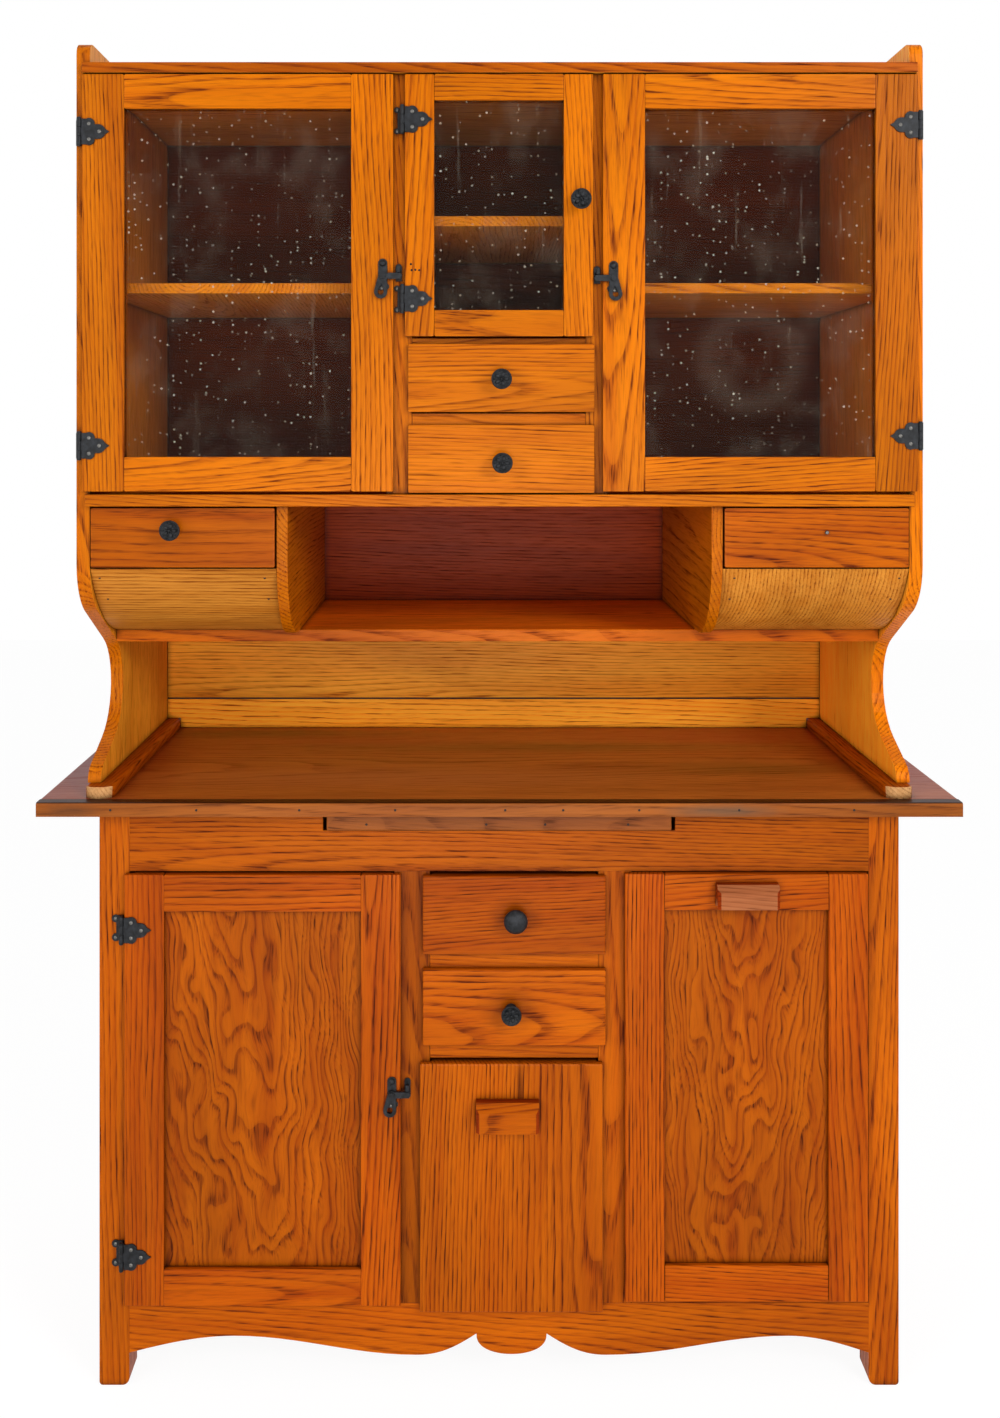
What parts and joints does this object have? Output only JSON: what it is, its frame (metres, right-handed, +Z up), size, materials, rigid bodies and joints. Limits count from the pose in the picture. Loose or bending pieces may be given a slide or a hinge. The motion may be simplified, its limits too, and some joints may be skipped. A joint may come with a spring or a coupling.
{
  "type": "bakers cabinet",
  "caption": "Oak baker's cabinet: glazed upper cupboards and nook on curved sides, a worktop, and a base with door, drawers, bread board and tilt-out bins.",
  "frame": {"origin": "centre of the cabinet's footprint on the floor, under the centre of its outer box", "axes": "+Z up, +Y towards the back, +X to the right as seen from the front"},
  "size_m": [1.251, 0.5034, 1.825],
  "materials": {
    "oak": "golden oak, satin varnish",
    "oak_inside": "oak, thin finish",
    "worktop_wood": "worn red-brown wood",
    "bread_board_wood": "scrubbed grey-brown wood",
    "glass": "old clear glass with dust",
    "black_iron": "blackened iron, satin",
    "pull_wood": "dark handled oak"
  },
  "bodies": {
    "case": {"base_legs": "oak", "base_sides": "oak", "base_back_panel": "oak_inside", "base_floor": "oak_inside", "base_top_rail": "oak", "base_scalloped_rail": "oak", "base_front_dividers": "oak", "base_partitions": "oak_inside", "base_shelf": "oak_inside", "base_runners": "oak_inside", "worktop": "worktop_wood", "worktop_edge_strip": "worktop_wood", "upper_sides": "oak", "upper_foot_strips": "oak", "upper_top_board": "oak", "upper_case_floor": "oak", "upper_dividers": "oak", "upper_drawer_rails": "oak", "upper_shelves": "oak", "upper_back": "oak_inside", "nook_shelf": "oak", "nook_partitions": "oak", "bent_panels": "oak", "lower_back_boards": "oak", "hinge_leaves_and_pins": "black_iron", "latch_keepers": "black_iron"},
    "left_door": {"left_door_frame": "oak", "left_door_glass": "glass", "left_door_irons": "black_iron"},
    "left_latch": {"left_latch_lever": "black_iron"},
    "middle_door": {"middle_door_frame": "oak", "middle_door_glass": "glass", "middle_door_irons": "black_iron", "middle_door_knob": "black_iron"},
    "right_door": {"right_door_frame": "oak", "right_door_glass": "glass", "right_door_irons": "black_iron"},
    "right_latch": {"right_latch_lever": "black_iron"},
    "base_door": {"base_door_frame": "oak", "base_door_panel": "oak", "base_door_irons": "black_iron"},
    "base_latch": {"base_latch_lever": "black_iron"},
    "upper_drawer_top": {"upper_drawer_top": "oak", "upper_knob_top": "black_iron"},
    "upper_drawer_low": {"upper_drawer_low": "oak", "upper_knob_low": "black_iron"},
    "side_drawer_left": {"side_drawer_left": "oak", "side_knob_left": "black_iron"},
    "side_drawer_right": {"side_drawer_right": "oak", "side_bolt_right": "black_iron"},
    "base_drawer_top": {"base_drawer_top": "oak", "base_knob_top": "black_iron"},
    "base_drawer_low": {"base_drawer_low": "oak", "base_knob_low": "black_iron"},
    "short_bin": {"short_bin": "oak", "short_bin_pull": "pull_wood"},
    "tall_bin": {"tall_bin_front": "oak", "tall_bin_box": "oak_inside", "tall_bin_pull": "pull_wood"},
    "bread_board": {"bread_board": "bread_board_wood"}
  },
  "joints": [
    {"name": "left_door_hinge", "type": "hinge", "parent": "case", "child": "left_door", "pos_m": [-0.5606, -0.22855, 1.487], "axis": [0, 0, -1], "range_deg": [0, 105]},
    {"name": "middle_door_hinge", "type": "hinge", "parent": "case", "child": "middle_door", "pos_m": [-0.1301, -0.22855, 1.6], "axis": [0, 0, -1], "range_deg": [0, 95]},
    {"name": "right_door_hinge", "type": "hinge", "parent": "case", "child": "right_door", "pos_m": [0.5606, -0.22855, 1.487], "axis": [0, 0, 1], "range_deg": [0, 105]},
    {"name": "base_door_hinge", "type": "hinge", "parent": "case", "child": "base_door", "pos_m": [-0.5136, -0.19355, 0.4], "axis": [0, 0, -1], "range_deg": [0, 105]},
    {"name": "left_latch_pivot", "type": "hinge", "parent": "left_door", "child": "left_latch", "pos_m": [-0.156, -0.23145, 1.51], "axis": [0, 1, 0], "range_deg": [0, 60]},
    {"name": "right_latch_pivot", "type": "hinge", "parent": "right_door", "child": "right_latch", "pos_m": [0.1515, -0.23145, 1.507], "axis": [0, -1, 0], "range_deg": [0, 60]},
    {"name": "base_latch_pivot", "type": "hinge", "parent": "base_door", "child": "base_latch", "pos_m": [-0.146, -0.19645, 0.403], "axis": [0, 1, 0], "range_deg": [0, 60]},
    {"name": "upper_drawer_top_slide", "type": "slide", "parent": "case", "child": "upper_drawer_top", "axis": [0, -1, 0], "range_m": [0, 0.3]},
    {"name": "upper_drawer_low_slide", "type": "slide", "parent": "case", "child": "upper_drawer_low", "axis": [0, -1, 0], "range_m": [0, 0.3]},
    {"name": "side_drawer_left_slide", "type": "slide", "parent": "case", "child": "side_drawer_left", "axis": [0, -1, 0], "range_m": [0, 0.25]},
    {"name": "side_drawer_right_slide", "type": "slide", "parent": "case", "child": "side_drawer_right", "axis": [0, -1, 0], "range_m": [0, 0.25]},
    {"name": "base_drawer_top_slide", "type": "slide", "parent": "case", "child": "base_drawer_top", "axis": [0, -1, 0], "range_m": [0, 0.28]},
    {"name": "base_drawer_low_slide", "type": "slide", "parent": "case", "child": "base_drawer_low", "axis": [0, -1, 0], "range_m": [0, 0.28]},
    {"name": "bread_board_slide", "type": "slide", "parent": "case", "child": "bread_board", "axis": [0, -1, 0], "range_m": [0, 0.26]},
    {"name": "short_bin_tilt", "type": "hinge", "parent": "case", "child": "short_bin", "pos_m": [0.018, -0.18325, 0.105], "axis": [1, 0, 0], "range_deg": [0, 32]},
    {"name": "tall_bin_tilt", "type": "hinge", "parent": "case", "child": "tall_bin", "pos_m": [0.336, -0.18325, 0.12], "axis": [1, 0, 0], "range_deg": [0, 32]}
  ]
}
